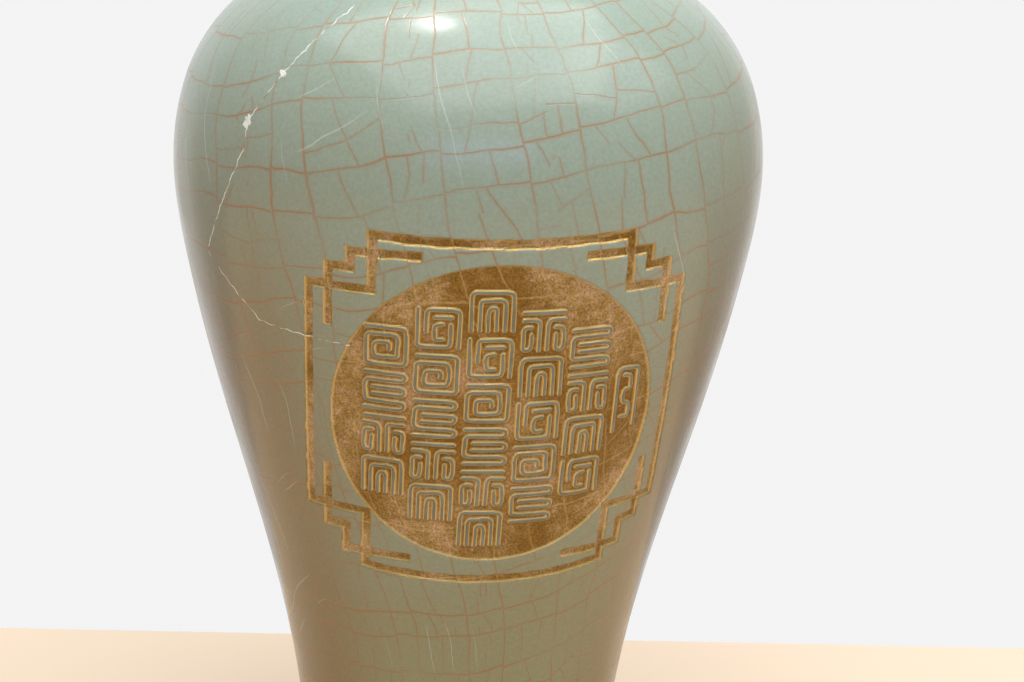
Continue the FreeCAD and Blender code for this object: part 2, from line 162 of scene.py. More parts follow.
LINE = profile()
RUN = np.concatenate([[0], np.cumsum(np.hypot(*np.diff(LINE, axis=0).T))])
RUN -= np.interp(BELLY_Z - CARTOUCHE_DROP, LINE[:, 1][LINE[:, 1] < BELLY_Z], RUN[LINE[:, 1] < BELLY_Z])
WAY = np.gradient(LINE, RUN, axis=0)
WAY /= np.linalg.norm(WAY, axis=1)[:, None]


def surface(angle, v, depth):
    """Points at an angle round from the front, v up the surface from the medallion's centre, and so deep."""
    r = np.interp(v, RUN, LINE[:, 0]) - depth * np.interp(v, RUN, WAY[:, 1])
    z = np.interp(v, RUN, LINE[:, 1]) + depth * np.interp(v, RUN, WAY[:, 0])
    return np.stack([r * np.sin(angle), -r * np.cos(angle), z + 0 * angle], -1) * MM


def spot(u, v, depth):
    """The same, for a distance u across from the centre line."""
    return surface(u / np.interp(v, RUN, LINE[:, 0]), v, depth)


def run_at(z):
    """Place along the surface of a height on the wall or shoulder."""
    rising = LINE[:, 1].argmax()
    return np.interp(z, LINE[:rising, 1], RUN[:rising])


# ---- meshes ----
def make_piece(name, points, polygons, material, replaced=()):
    """Smooth-shaded mesh that rides with the vase and stands for the CAD nodes that it replaces."""
    mesh = bpy.data.meshes.new(name)
    size = polygons.shape[1]
    mesh.vertices.add(len(points))
    mesh.vertices.foreach_set("co", np.asarray(points, np.float32).ravel())
    mesh.loops.add(polygons.size)
    mesh.loops.foreach_set("vertex_index", polygons.astype(np.int32).ravel())
    mesh.polygons.add(len(polygons))
    mesh.polygons.foreach_set("loop_start", np.arange(0, polygons.size, size, dtype=np.int32))
    mesh.polygons.foreach_set("use_smooth", np.ones(len(polygons), bool))
    mesh.update(calc_edges=True)
    mesh.validate()
    piece = bpy.data.objects.new(name, mesh)
    bpy.context.scene.collection.objects.link(piece)
    mesh.materials.append(material)
    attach(piece, "root")
    if replaced:
        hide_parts(*replaced)
    return piece


def steps(*stretches):
    """Ascending values over stretches of (start, end, spacing)."""
    parts = []
    for start, end, spacing in stretches:
        count = max(1, round((end - start) / spacing))
        parts.append(np.linspace(start, end, count, endpoint=False))
    return np.concatenate(parts + [[stretches[-1][1]]])


def wrapped_quads(rows, columns):
    """Quads of a grid that closes on itself both ways."""
    i, j = np.meshgrid(np.arange(rows), np.arange(columns), indexing="ij")
    next_i, next_j = (i + 1) % rows, (j + 1) % columns
    corners = [i * columns + j, i * columns + next_j, next_i * columns + next_j, next_i * columns + j]
    return np.stack(corners, -1).reshape(-1, 4)


def slab(top, bottom, kept):
    """Closed slab between two grids of points over the kept cells: its points and quads, and the grid
    places that its points were taken from."""
    rows, columns = kept.shape
    number = np.arange((rows + 1) * (columns + 1)).reshape(rows + 1, columns + 1)
    cell = [number[:-1, :-1], number[:-1, 1:], number[1:, 1:], number[1:, :-1]]
    quads = [np.stack([c[kept] for c in cell], 1), np.stack([c[kept] + number.size for c in cell[::-1]], 1)]
    padded = np.pad(kept, 1)
    sides = (((-1, 0), 0, 1), ((0, 1), 1, 2), ((1, 0), 2, 3), ((0, -1), 3, 0))
    for (down, right), a, b in sides:
        beside = padded[1 + down:1 + down + rows, 1 + right:1 + right + columns]
        edge = kept & ~beside
        first, second = cell[a][edge], cell[b][edge]
        quads.append(np.stack([second, first, first + number.size, second + number.size], 1))
    quads = np.concatenate(quads)
    points = np.concatenate([top.reshape(-1, 3), bottom.reshape(-1, 3)])
    used, quads = np.unique(quads, return_inverse=True)
    return points[used], quads.reshape(-1, 4), used % number.size


# ---- the cartouche as distances from its edges, in millimetres ----
def ease(value, start, end):
    t = np.clip((value - start) / (end - start), 0, 1)
    return t * t * (3 - 2 * t)


def waver(u, v):
    """Slow unevenness of a line cut by hand, about a fifth of a millimetre."""
    return 0.1 * np.sin(u * 0.61 + 1.3 * np.sin(v * 0.23)) + 0.1 * np.sin(v * 0.53 + 1.7 * np.sin(u * 0.19))


def line_depth(u, v, path):
    """How far inside a square-ended line of the frame a place lies; negative outside."""
    inside = np.full(np.broadcast(u, v).shape, -99.0)
    for (u0, v0), (u1, v1) in zip(path, path[1:]):
        length = math.hypot(u1 - u0, v1 - v0)
        along_u, along_v = (u1 - u0) / length, (v1 - v0) / length
        du, dv = u - (u0 + u1) / 2, v - (v0 + v1) / 2
        along = np.abs(du * along_u + dv * along_v) - length / 2 - LINE_W / 2
        across = np.abs(dv * along_u - du * along_v) - LINE_W / 2
        outside = np.hypot(np.maximum(along, 0), np.maximum(across, 0))
        inside = np.maximum(inside, -outside - np.minimum(np.maximum(along, across), 0))
    return inside


def frame_path():
    """The frame's continuous line, its top and bottom lines hanging a little at their middles."""
    def level(end, start_u):
        places = np.linspace(start_u, -start_u, 9)
        return [(u, EDGE_V[end] + EDGE_BOW[end] * (1 - (u / STEP_U) ** 2)) for u in places]
    upper, lower = SHOULDER_V
    right = [(STEP_U, upper), (SIDE_U, upper), (SIDE_U, lower), (STEP_U, lower)]
    left = [(-u, v) for u, v in right[::-1]]
    path = level(0, -STEP_U) + right + level(1, STEP_U) + left
    return path + path[:1]


def hook_path(end, side):
    path = [(BAR_END_U, BAR_V[end]), (HOOK_IN_U, BAR_V[end]), (HOOK_IN_U, HOOK_STEP_V[end]),
            (HOOK_OUT_U, HOOK_STEP_V[end]), (HOOK_OUT_U, HOOK_END_V[end])]
    return [(side * u, v) for u, v in path]


HOOKS = {f"{level}_{hand}": hook_path(end, side)
         for end, level in enumerate(("top", "bottom")) for side, hand in ((-1, "left"), (1, "right"))}


def edge_depths(u, v):
    """How far inside the medallion, the frame's line and each hook a place lies."""
    wander = waver(u, v)
    depths = {
        "medallion": MEDALLION_R - np.hypot(u, v) + 0.5 * wander,
        "frame": line_depth(u, v, frame_path()) + wander,
    }
    for name, path in HOOKS.items():
        depths[name] = line_depth(u, v, path) + wander
    return depths


def sunk(inside):
    """Depth of the glaze where the sunk ground's soft edge lies so far away."""
    return RECESS * ease(inside, -0.35, 0.5)


def rounded(path, times=3):
    """The path with its corners worn round by cutting them off a few times."""
    path = np.array(path, float)
    for _ in range(times):
        a, b = path[:-1], path[1:]
        length = np.linalg.norm(b - a, axis=1)[:, None]
        cut = np.minimum(0.25, 0.9 / length)
        middle = np.stack([a + cut * (b - a), b - cut * (b - a)], 1).reshape(-1, 2)
        path = np.concatenate([path[:1], middle[1:-1], path[-1:]])
    return path


def fret_cells():
    """Every cell of the raised frets: its column's name, and its strips' paths on the surface."""
    cells = []
    for column, rows in enumerate(COLUMN_ROWS):
        for row in range(rows):
            over_middle = ((rows - 1) / 2 - row) * ROW_STEP
            centre = (FIRST_COLUMN_U + column * COLUMN_STEP, COLUMN_MIDDLE_V[column] + over_middle)
            motif = MOTIFS[(2 * column + 3 * row) % len(MOTIFS)]
            cells.append((f"fret_column_{column + 1}", centre, CELL_LINES, CELL_PITCH, motif))
    cells.append(("fret_panel", (PANEL_U, PANEL_V), PANEL_LINES, PANEL_PITCH, PANEL))
    placed = []
    for name, centre, lines, pitch, motif in cells:
        paths = []
        for path in motif:
            grid = [((x - lines[0] / 2) * pitch[0], (y - lines[1] / 2) * pitch[1]) for x, y in path]
            smooth = rounded(grid) + centre
            paths.append(smooth + 0.12 * np.sin(smooth[:, ::-1] * 0.9 + centre[0]))
        placed.append((name, paths))
    return placed


def distance_to(paths, u, v):
    """Distance from places to the nearest of some paths."""
    nearest = np.full(u.shape, 99.0)
    for path in paths:
        for a, b in zip(path, path[1:]):
            way = b - a
            share = np.clip(((u - a[0]) * way[0] + (v - a[1]) * way[1]) / (way @ way), 0, 1)
            nearest = np.minimum(nearest, np.hypot(u - a[0] - share * way[0], v - a[1] - share * way[1]))
    return nearest


def along(path, spacing):
    """Points evenly spaced along a path."""
    run = np.concatenate([[0], np.cumsum(np.linalg.norm(np.diff(path, axis=0), axis=1))])
    at = np.linspace(0, run[-1], max(3, int(run[-1] / spacing)))
    return np.stack([np.interp(at, run, path[:, 0]), np.interp(at, run, path[:, 1])], 1), at


def raised_strip(path, half, section, spacing=0.4):
    """Closed strip with round ends that follows a path on the surface: its points and quads.

    section holds (share of the half width, depth) from one lower edge over the top to the other."""
    centres, at = along(path, spacing)
    way = np.gradient(centres, axis=0)
    way /= np.linalg.norm(way, axis=1)[:, None]
    side = np.stack([-way[:, 1], way[:, 0]], 1)
    from_end = np.clip(np.minimum(at, at[-1] - at) / half, 0.02, 1)
    taper = np.sqrt(1 - (1 - from_end) ** 2)
    rings = []
    for across, depth in section:
        place = centres + side * (across * half * taper)[:, None]
        rings.append(spot(place[:, 0], place[:, 1], depth + 0.1 * (1 - taper)))
    points = np.stack(rings, 1)
    count, round_count = points.shape[:2]
    i, j = np.meshgrid(np.arange(count - 1), np.arange(round_count), indexing="ij")
    near, far, k = i * round_count, (i + 1) * round_count, (j + 1) % round_count
    quads = np.stack([near + j, near + k, far + k, far + j], -1).reshape(-1, 4)
    caps = []
    for ring, order in ((0, 1), (count - 1, -1)):
        base = ring * round_count
        for n in range((round_count - 2) // 2):
            cap = [base + n, base + round_count - 1 - n, base + round_count - 2 - n, base + n + 1]
            caps.append(cap[::order])
    return points.reshape(-1, 3), np.concatenate([quads, np.array(caps)])


def joined(parts):
    """Several (points, quads) meshes as one."""
    points, quads, count = [], [], 0
    for some, faces in parts:
        points.append(some)
        quads.append(faces + count)
        count += len(some)
    return np.concatenate(points), np.concatenate(quads)


# ---- finishes ----
def linear(hex_colour):
    """sRGB hex as the linear colour that shaders take."""
    channels = [int(hex_colour[i:i + 2], 16) / 255 for i in (1, 3, 5)]
    return [c / 12.92 if c <= 0.04045 else ((c + 0.055) / 1.055) ** 2.4 for c in channels] + [1.0]


def add(tree, kind, inputs=None, out=0, **settings):
    """Adds a node with its settings; inputs takes values or other nodes' outputs. Returns one output."""
    made = tree.nodes.new(kind)
    for name, value in settings.items():
        setattr(made, name, value)
    for socket, value in (inputs or {}).items():
        if isinstance(value, bpy.types.NodeSocket):
            tree.links.new(value, made.inputs[socket])
        else:
            made.inputs[socket].default_value = value
    return made.outputs[out] if made.outputs else made


MATH, MIX, RANGE = "ShaderNodeMath", "ShaderNodeMix", "ShaderNodeMapRange"
COMBINE, SEPARATE, VECTOR = "ShaderNodeCombineXYZ", "ShaderNodeSeparateXYZ", "ShaderNodeVectorMath"
NOISE, VORONOI, HASH = "ShaderNodeTexNoise", "ShaderNodeTexVoronoi", "ShaderNodeTexWhiteNoise"


def calc(tree, operation, *values):
    """Arithmetic on numbers or outputs."""
    return add(tree, MATH, dict(enumerate(values)), operation=operation)


def fade(tree, value, start, end, at_start, at_end, **settings):
    """Carries a value from one range over to another."""
    return add(tree, RANGE, dict(enumerate((value, start, end, at_start, at_end))), **settings)


def soft_fade(tree, *values):
    return fade(tree, *values, interpolation_type="SMOOTHSTEP")


def blend(tree, share, one, other, **settings):
    """Colour between two, each an output or an sRGB hex."""
    one, other = (linear(colour) if isinstance(colour, str) else colour for colour in (one, other))
    return add(tree, MIX, {0: share, 6: one, 7: other}, 2, data_type="RGBA", **settings)


def new_group(name, inputs, outputs):
    """Empty node group; returns its tree and its input sockets by name."""
    tree = bpy.data.node_groups.new(name, "ShaderNodeTree")
    for socket in inputs:
        tree.interface.new_socket(socket, in_out="INPUT", socket_type="NodeSocketFloat")
    for socket in outputs:
        tree.interface.new_socket(socket, in_out="OUTPUT", socket_type="NodeSocketFloat")
    entry = tree.nodes.new("NodeGroupInput")
    return tree, {socket: entry.outputs[socket] for socket in inputs}


def finish_group(tree, outputs):
    end = tree.nodes.new("NodeGroupOutput")
    for name, socket in outputs.items():
        tree.links.new(socket, end.inputs[name])


def use_group(tree, group, inputs):
    """Puts a group into a tree; returns its outputs by name."""
    made = tree.nodes.new("ShaderNodeGroup")
    made.node_tree = group
    for socket, value in inputs.items():
        if isinstance(value, bpy.types.NodeSocket):
            tree.links.new(value, made.inputs[socket])
        else:
            made.inputs[socket].default_value = value
    return made.outputs


def long_lines_group():
    """Uneven parallel lines, one apart on average: which gap a place is in, and how far from its sides. Part
    of their unevenness is shared all along a line, and part is its own for each key, so a line jogs where the
    key changes. Their numbers start again after a full turn of the vase."""
    outputs = ("Cell", "Share", "Gap", "Span")
    tree, given = new_group("long lines", ("Position", "Key", "Shared", "Own"), outputs)
    whole = calc(tree, "FLOOR", given["Position"])
    lines = []
    for shift in (-1, 0, 1):
        number = calc(tree, "ADD", whole, shift)
        line = calc(tree, "FLOORED_MODULO", number, AROUND_CELLS)
        placed = number
        for key, amount in ((0.5, "Shared"), (given["Key"], "Own")):
            seed = add(tree, COMBINE, {0: line, 1: key})
            chance = add(tree, HASH, {"Vector": seed}, "Value", noise_dimensions="2D")
            placed = calc(tree, "MULTIPLY_ADD", chance, given[amount], placed)
        lines.append(placed)
    before = calc(tree, "LESS_THAN", given["Position"], lines[1])
    low = add(tree, MIX, {0: before, 2: lines[1], 3: lines[0]})
    high = add(tree, MIX, {0: before, 2: lines[2], 3: lines[1]})
    from_low = calc(tree, "SUBTRACT", given["Position"], low)
    to_high = calc(tree, "SUBTRACT", high, given["Position"])
    span = calc(tree, "SUBTRACT", high, low)
    cell = calc(tree, "SUBTRACT", whole, before)
    finish_group(tree, {
        "Cell": calc(tree, "FLOORED_MODULO", cell, AROUND_CELLS),
        "Share": calc(tree, "DIVIDE", from_low, span),
        "Gap": calc(tree, "MINIMUM", from_low, to_high),
        "Span": span,
    })
    return tree


def split_group():
    """A shorter crack that splits a cell in two between cracks that are already there."""
    tree, given = new_group("split", ("Share", "Other", "Span", "Key"), ("Gap", "Share", "Span", "Key"))
    chances = []
    for number in (1.7, 5.3):
        key = add(tree, COMBINE, {0: given["Key"], 1: number})
        chances.append(add(tree, HASH, {"Vector": key}, "Value", noise_dimensions="2D"))
    slope = calc(tree, "MULTIPLY_ADD", chances[1], 0.7, -0.35)
    off_middle = calc(tree, "SUBTRACT", given["Other"], 0.5)
    level = calc(tree, "MULTIPLY_ADD", chances[0], 0.36, 0.32)
    cut = calc(tree, "MULTIPLY_ADD", slope, off_middle, level)
    past = calc(tree, "SUBTRACT", given["Share"], cut)
    above = calc(tree, "GREATER_THAN", past, 0.0)
    rest = calc(tree, "SUBTRACT", 1.0, cut)
    low_share = calc(tree, "DIVIDE", given["Share"], cut)
    high_share = calc(tree, "DIVIDE", past, rest)
    size = add(tree, MIX, {0: above, 2: level, 3: calc(tree, "SUBTRACT", 1.0, level)})
    apart = calc(tree, "ABSOLUTE", past)
    new_key = calc(tree, "MULTIPLY_ADD", given["Key"], 1.37, 2.1)
    finish_group(tree, {
        "Gap": calc(tree, "MULTIPLY", apart, given["Span"]),
        "Share": add(tree, MIX, {0: above, 2: low_share, 3: high_share}),
        "Span": calc(tree, "MULTIPLY", size, given["Span"]),
        "Key": calc(tree, "MULTIPLY_ADD", above, 0.77, new_key),
    })
    return tree


def crackle_group():
    """Crackle of a thick glaze that shrank more than its clay: long lines first, then shorter ones that stop
    against them. Stain is the brown rubbed into the lines, Halo its soft spread, Groove the line itself, and
    Hairline a few young cracks that no stain has reached."""
    tree, _ = new_group("crackle", (), ("Stain", "Halo", "Groove", "Hairline"))
    long_lines, split = long_lines_group(), split_group()
    place = add(tree, "ShaderNodeTexCoord", out="Object")
    parts = tree.nodes.new(SEPARATE)
    tree.links.new(place, parts.inputs[0])
    x, y, z = parts.outputs
    back = calc(tree, "MULTIPLY", y, -1.0)
    angle = calc(tree, "ARCTAN2", x, back)
    level = add(tree, VECTOR, {0: place, 1: (1, 1, 0)}, operation="MULTIPLY")
    radius = add(tree, VECTOR, {0: level}, "Value", operation="LENGTH")
    over = calc(tree, "SUBTRACT", z, BELLY_Z * MM)
    inwards = calc(tree, "SUBTRACT", radius, CROWN_R * MM)
    turn = calc(tree, "ARCTAN2", over, inwards)
    on_shoulder = calc(tree, "MULTIPLY", turn, SHOULDER_SWEEP)
    on_wall = calc(tree, "MULTIPLY", over, 1000)
    is_shoulder = calc(tree, "GREATER_THAN", over, 0.0)
    up = add(tree, MIX, {0: is_shoulder, 2: on_wall, 3: on_shoulder})
    around = calc(tree, "MULTIPLY", angle, AROUND_CELLS / (2 * math.pi) * CELL_WIDTH)

    # the lines wander: slow bends of some millimetres, and a small tremble
    for scale, reach in WANDERS:
        bend = add(tree, NOISE, {"Vector": place, "Scale": scale, "Detail": 1}, "Color")
        bends = tree.nodes.new(SEPARATE)
        tree.links.new(bend, bends.inputs[0])
        around = calc(tree, "MULTIPLY_ADD", bends.outputs[0], reach, around)
        up = calc(tree, "MULTIPLY_ADD", bends.outputs[1], reach, up)
    leaning = calc(tree, "MULTIPLY_ADD", up, COLUMN_LEAN, around)
    rising = calc(tree, "MULTIPLY_ADD", around, ROW_RISE, up)

    column = use_group(tree, long_lines, {
        "Position": calc(tree, "MULTIPLY", leaning, 1 / CELL_WIDTH),
        "Key": 3.1, "Shared": 0.6, "Own": 0.0})
    row = use_group(tree, long_lines, {
        "Position": calc(tree, "MULTIPLY", rising, 1 / CELL_HEIGHT),
        "Key": column["Cell"], "Shared": 0.5, "Own": 0.14})
    height = calc(tree, "MULTIPLY", row["Span"], CELL_HEIGHT)
    width = calc(tree, "MULTIPLY", column["Span"], CELL_WIDTH)
    key = calc(tree, "MULTIPLY_ADD", row["Cell"], 13.7, column["Cell"])
    gaps = [(calc(tree, "MULTIPLY", row["Gap"], CELL_HEIGHT), 1.0),
            (calc(tree, "MULTIPLY", column["Gap"], CELL_WIDTH), 0.9)]
    shares, spans = [column["Share"], row["Share"]], [width, height]
    for turn_number, (least, strength) in enumerate(SPLITS):
        this, other = turn_number % 2, 1 - turn_number % 2
        halves = use_group(tree, split, {
            "Share": shares[this], "Other": shares[other], "Span": spans[this], "Key": key})
        narrow = calc(tree, "LESS_THAN", spans[this], least)
        gaps.append((calc(tree, "MULTIPLY_ADD", narrow, 40.0, halves["Gap"]), strength))
        shares[this] = add(tree, MIX, {0: narrow, 2: halves["Share"], 3: shares[this]})
        spans[this] = add(tree, MIX, {0: narrow, 2: halves["Span"], 3: spans[this]})
        key = halves["Key"]

    faded = add(tree, NOISE, {"Vector": place, "Scale": 38, "Detail": 3}, "Fac")
    kept = fade(tree, faded, 0.36, 0.6, 0.3, 1.0)
    stain, halo, groove = 0.0, 0.0, 0.0
    for gap, strength in gaps:
        line = soft_fade(tree, gap, 0.1, 0.55, strength, 0.0)
        soft = soft_fade(tree, gap, 0.2, 1.6, strength, 0.0)
        cut = soft_fade(tree, gap, 0.05, 0.4, 1.0, 0.0)
        stain = calc(tree, "MAXIMUM", stain, line)
        halo = calc(tree, "MAXIMUM", halo, soft)
        groove = calc(tree, "MAXIMUM", groove, cut)
    hairline = 0.0
    for steep, over, apart, seed, least in HAIRLINES:
        slanting = calc(tree, "MULTIPLY", around, steep)
        slanting = calc(tree, "MULTIPLY_ADD", up, over, slanting)
        young = use_group(tree, long_lines, {
            "Position": calc(tree, "MULTIPLY", slanting, 1 / apart),
            "Key": seed, "Shared": 0.0, "Own": 0.8})
        gap = calc(tree, "MULTIPLY", young["Gap"], apart)
        thin = soft_fade(tree, gap, 0.06, 0.3, 1.0, 0.0)
        chance = add(tree, NOISE, {"Vector": place, "Scale": 3 * seed, "Detail": 1}, "Fac")
        seen = fade(tree, chance, least, least + 0.07, 0.0, 1.0)
        seen = calc(tree, "MULTIPLY", thin, seen)
        hairline = calc(tree, "MAXIMUM", hairline, seen)
    finish_group(tree, {
        "Hairline": hairline,
        "Stain": calc(tree, "MULTIPLY", stain, kept),
        "Halo": calc(tree, "MULTIPLY", halo, kept),
        "Groove": groove,
    })
    return tree


def new_material(name, settings):
    """Material with one Principled shader and its plain values; returns it, its tree and the shader."""
    material = bpy.data.materials.new(name)
    material.use_nodes = True
    tree = material.node_tree
    shader = tree.nodes["Principled BSDF"]
    for socket, value in settings.items():
        shader.inputs[socket].default_value = value
    return material, tree, shader


def celadon_glaze(crackle):
    """Thick wood-fired celadon over porcelain, cooled slowly: blue-green on the shoulder and more olive below
    as a painted gradient of the light from above and the warm bounce from the table, with painted shade on
    the flanks of the lower wall, satin, with brown rubbed into its crackle and a soft orange-peel surface."""
    material, tree, shader = new_material("celadon_crackle_glaze", {"IOR": 1.5, "Coat Weight": 0.0})
    lines = use_group(tree, crackle, {})
    place = add(tree, "ShaderNodeTexCoord", out="Object")
    parts = tree.nodes.new(SEPARATE)
    tree.links.new(place, parts.inputs[0])
    cloud = add(tree, NOISE, {"Vector": place, "Scale": 16, "Detail": 3, "Roughness": 0.55}, "Fac")
    # painted light: by height the colour runs from olive on the lower wall to blue-green on the shoulder, a
    # painted warm bounce from the table and light from above, with a random cloud of tone over it
    height = fade(tree, parts.outputs[2], 0.1, 0.29, 0.0, 1.0)
    mixed = calc(tree, "MULTIPLY_ADD", cloud, 0.6, -0.3)
    painted_shading_and_tone = add(tree, MATH, {0: height, 1: mixed}, operation="ADD", use_clamp=True)
    colour = blend(tree, painted_shading_and_tone, "#888462", "#8A9A8E")
    # painted shade: the sides and back of the lower wall, away from the cartouche, are darkened to brown
    level = add(tree, VECTOR, {0: place, 1: (1, 1, 0)}, operation="MULTIPLY")
    outwards = add(tree, VECTOR, {0: level}, operation="NORMALIZE")
    facing = add(tree, VECTOR, {0: outwards, 1: (0, -1, 0)}, "Value", operation="DOT_PRODUCT")
    aside = soft_fade(tree, facing, 0.95, 0.6, 0.0, 1.0)
    low = soft_fade(tree, parts.outputs[2], 0.17, 0.3, 0.8, 0.0)
    painted_flank_shade = calc(tree, "MULTIPLY", aside, low)
    colour = blend(tree, painted_flank_shade, colour, "#7C6338")
    fleck = add(tree, NOISE, {"Vector": place, "Scale": 900, "Detail": 2}, "Fac")
    flecked = fade(tree, fleck, 0.3, 0.7, 0.94, 1.06)
    grey = add(tree, COMBINE, {0: flecked, 1: flecked, 2: flecked})
    colour = blend(tree, 1.0, colour, grey, blend_type="MULTIPLY")
    spread = calc(tree, "MULTIPLY", lines["Halo"], 0.16)
    colour = blend(tree, spread, colour, "#8C7350")
    rubbed = calc(tree, "MULTIPLY", lines["Stain"], 0.6)
    colour = blend(tree, rubbed, colour, "#94602F")
    pale = calc(tree, "MULTIPLY", lines["Hairline"], 0.32)
    colour = blend(tree, pale, colour, "#CBD2C3")
    tree.links.new(colour, shader.inputs["Base Color"])
    wear = add(tree, NOISE, {"Vector": place, "Scale": 60, "Detail": 4}, "Fac")
    rough = fade(tree, wear, 0.3, 0.7, 0.13, 0.26)
    tree.links.new(rough, shader.inputs["Roughness"])
    peel = add(tree, NOISE, {"Vector": place, "Scale": 110, "Detail": 2}, "Fac")
    peel_bump = add(tree, "ShaderNodeBump", {"Strength": 0.5, "Distance": 0.0001, "Height": peel})
    groove = add(tree, "ShaderNodeBump", {"Strength": 0.3, "Distance": 0.0001, "Height": lines["Groove"],
                                          "Normal": peel_bump}, invert=True)
    tree.links.new(groove, shader.inputs["Normal"])
    return material


def inner_glaze():
    """The same celadon where it lies thin, inside the vase and under its foot, with a plain fine crackle."""
    material, tree, shader = new_material("celadon_thin_glaze", {"IOR": 1.5, "Roughness": 0.22})
    place = add(tree, "ShaderNodeTexCoord", out="Object")
    net = add(tree, VORONOI, {"Vector": place, "Scale": 85}, "Distance", feature="DISTANCE_TO_EDGE")
    line = soft_fade(tree, net, 0.012, 0.05, 0.6, 0.0)
    cloud = add(tree, NOISE, {"Vector": place, "Scale": 30, "Detail": 3}, "Fac")
    colour = blend(tree, cloud, "#8B9176", "#9AA894")
    colour = blend(tree, line, colour, "#7D5B38")
    tree.links.new(colour, shader.inputs["Base Color"])
    bump = add(tree, "ShaderNodeBump", {"Strength": 0.4, "Distance": 0.0002, "Height": cloud})
    tree.links.new(bump, shader.inputs["Normal"])
    return material


def worn_gilding(crackle):
    """Gold leaf on brown size, old and rubbed: metal with amber pools of size, beige where the leaf has gone,
    dark pits, and fine ridges where the glaze's crackle runs on under it, with painted shade round the foot
    of each strip and painted highlights on the raised rims, along the sunk ground's edge and on the crackle
    ridges."""
    material, tree, shader = new_material("worn_gilding", {})
    lines = use_group(tree, crackle, {})
    place = add(tree, "ShaderNodeTexCoord", out="Object")
    broad = add(tree, NOISE, {"Vector": place, "Scale": 45, "Detail": 5, "Roughness": 0.62}, "Fac")
    fine = add(tree, NOISE, {"Vector": place, "Scale": 420, "Detail": 4, "Roughness": 0.6}, "Fac")
    grain = add(tree, NOISE, {"Vector": place, "Scale": 1500, "Detail": 2}, "Fac")
    amber = fade(tree, broad, 0.4, 0.62, 0.0, 1.0)
    colour = blend(tree, amber, "#80602A", "#9F8756")
    worn = calc(tree, "ADD", broad, fine)
    gone = fade(tree, worn, 1.0, 1.25, 0.0, 0.85)
    colour = blend(tree, gone, colour, "#B58D6E")
    speckle = fade(tree, grain, 0.3, 0.7, 0.6, 1.4)
    grey = add(tree, COMBINE, {0: speckle, 1: speckle, 2: speckle})
    colour = blend(tree, 1.0, colour, grey, blend_type="MULTIPLY")
    pit = fade(tree, fine, 0.22, 0.31, 0.8, 0.0)
    colour = blend(tree, pit, colour, "#4A3013")
    # painted highlight: pale gold along the crackle ridges under the gilding
    painted_ridge_highlight = calc(tree, "MULTIPLY", lines["Stain"], 0.3)
    colour = blend(tree, painted_ridge_highlight, colour, "#D9BE86")
    # painted shade: a dark amber ring round the foot of each strip; painted highlight: pale gold on the
    # raised rims and along the sunk ground's edge
    painted_shading_and_tone = add(tree, "ShaderNodeAttribute", out="Fac", attribute_name="painted_shading_and_tone")
    deep = calc(tree, "MULTIPLY", painted_shading_and_tone, 0.42)
    colour = blend(tree, deep, colour, "#80561A")
    # painted highlight: pale gold on the raised rims of the strips and along the sunk ground's edge
    painted_highlight = add(tree, "ShaderNodeAttribute", out="Fac", attribute_name="painted_highlight")
    highlight_share = calc(tree, "MULTIPLY", painted_highlight, 0.85)
    colour = blend(tree, highlight_share, colour, "#E0BE74")
    tree.links.new(colour, shader.inputs["Base Color"])
    metal = fade(tree, gone, 0.0, 0.85, 0.8, 0.2)
    tree.links.new(metal, shader.inputs["Metallic"])
    rough = fade(tree, fine, 0.3, 0.7, 0.3, 0.5)
    tree.links.new(rough, shader.inputs["Roughness"])
    grained = calc(tree, "MULTIPLY_ADD", grain, 0.35, fine)
    rubbed = add(tree, "ShaderNodeBump", {"Strength": 0.75, "Distance": 0.00014, "Height": grained})
    raised = add(tree, "ShaderNodeBump", {"Strength": 0.7, "Distance": 0.00012, "Height": lines["Groove"],
                                          "Normal": rubbed})
    tree.links.new(raised, shader.inputs["Normal"])
    return material


def fret_glaze():
    """Thin grey-green glaze left on the tops of the raised strips, a little mottled."""
    material, tree, shader = new_material("thin_fret_glaze", {"IOR": 1.5, "Roughness": 0.3})
    place = add(tree, "ShaderNodeTexCoord", out="Object")
    cloud = add(tree, NOISE, {"Vector": place, "Scale": 160, "Detail": 4}, "Fac")
    tone = fade(tree, cloud, 0.35, 0.65, 0.0, 1.0)
    colour = blend(tree, tone, "#6A6855", "#777B6B")
    tree.links.new(colour, shader.inputs["Base Color"])
    bump = add(tree, "ShaderNodeBump", {"Strength": 0.3, "Distance": 0.0001, "Height": cloud})
    tree.links.new(bump, shader.inputs["Normal"])
    return material


def bare_clay():
    """Stoneware burnt iron-brown where no glaze covered it: matt, gritty and a little patchy."""
    material, tree, shader = new_material("burnt_bare_clay", {"IOR": 1.5, "Roughness": 0.85})
    place = add(tree, "ShaderNodeTexCoord", out="Object")
    patch = add(tree, NOISE, {"Vector": place, "Scale": 50, "Detail": 5}, "Fac")
    grit = add(tree, NOISE, {"Vector": place, "Scale": 1100, "Detail": 2}, "Fac")
    colour = blend(tree, patch, "#5A3622", "#94694A")
    tree.links.new(colour, shader.inputs["Base Color"])
    bump = add(tree, "ShaderNodeBump", {"Strength": 0.6, "Distance": 0.0002, "Height": grit})
    tree.links.new(bump, shader.inputs["Normal"])
    return material


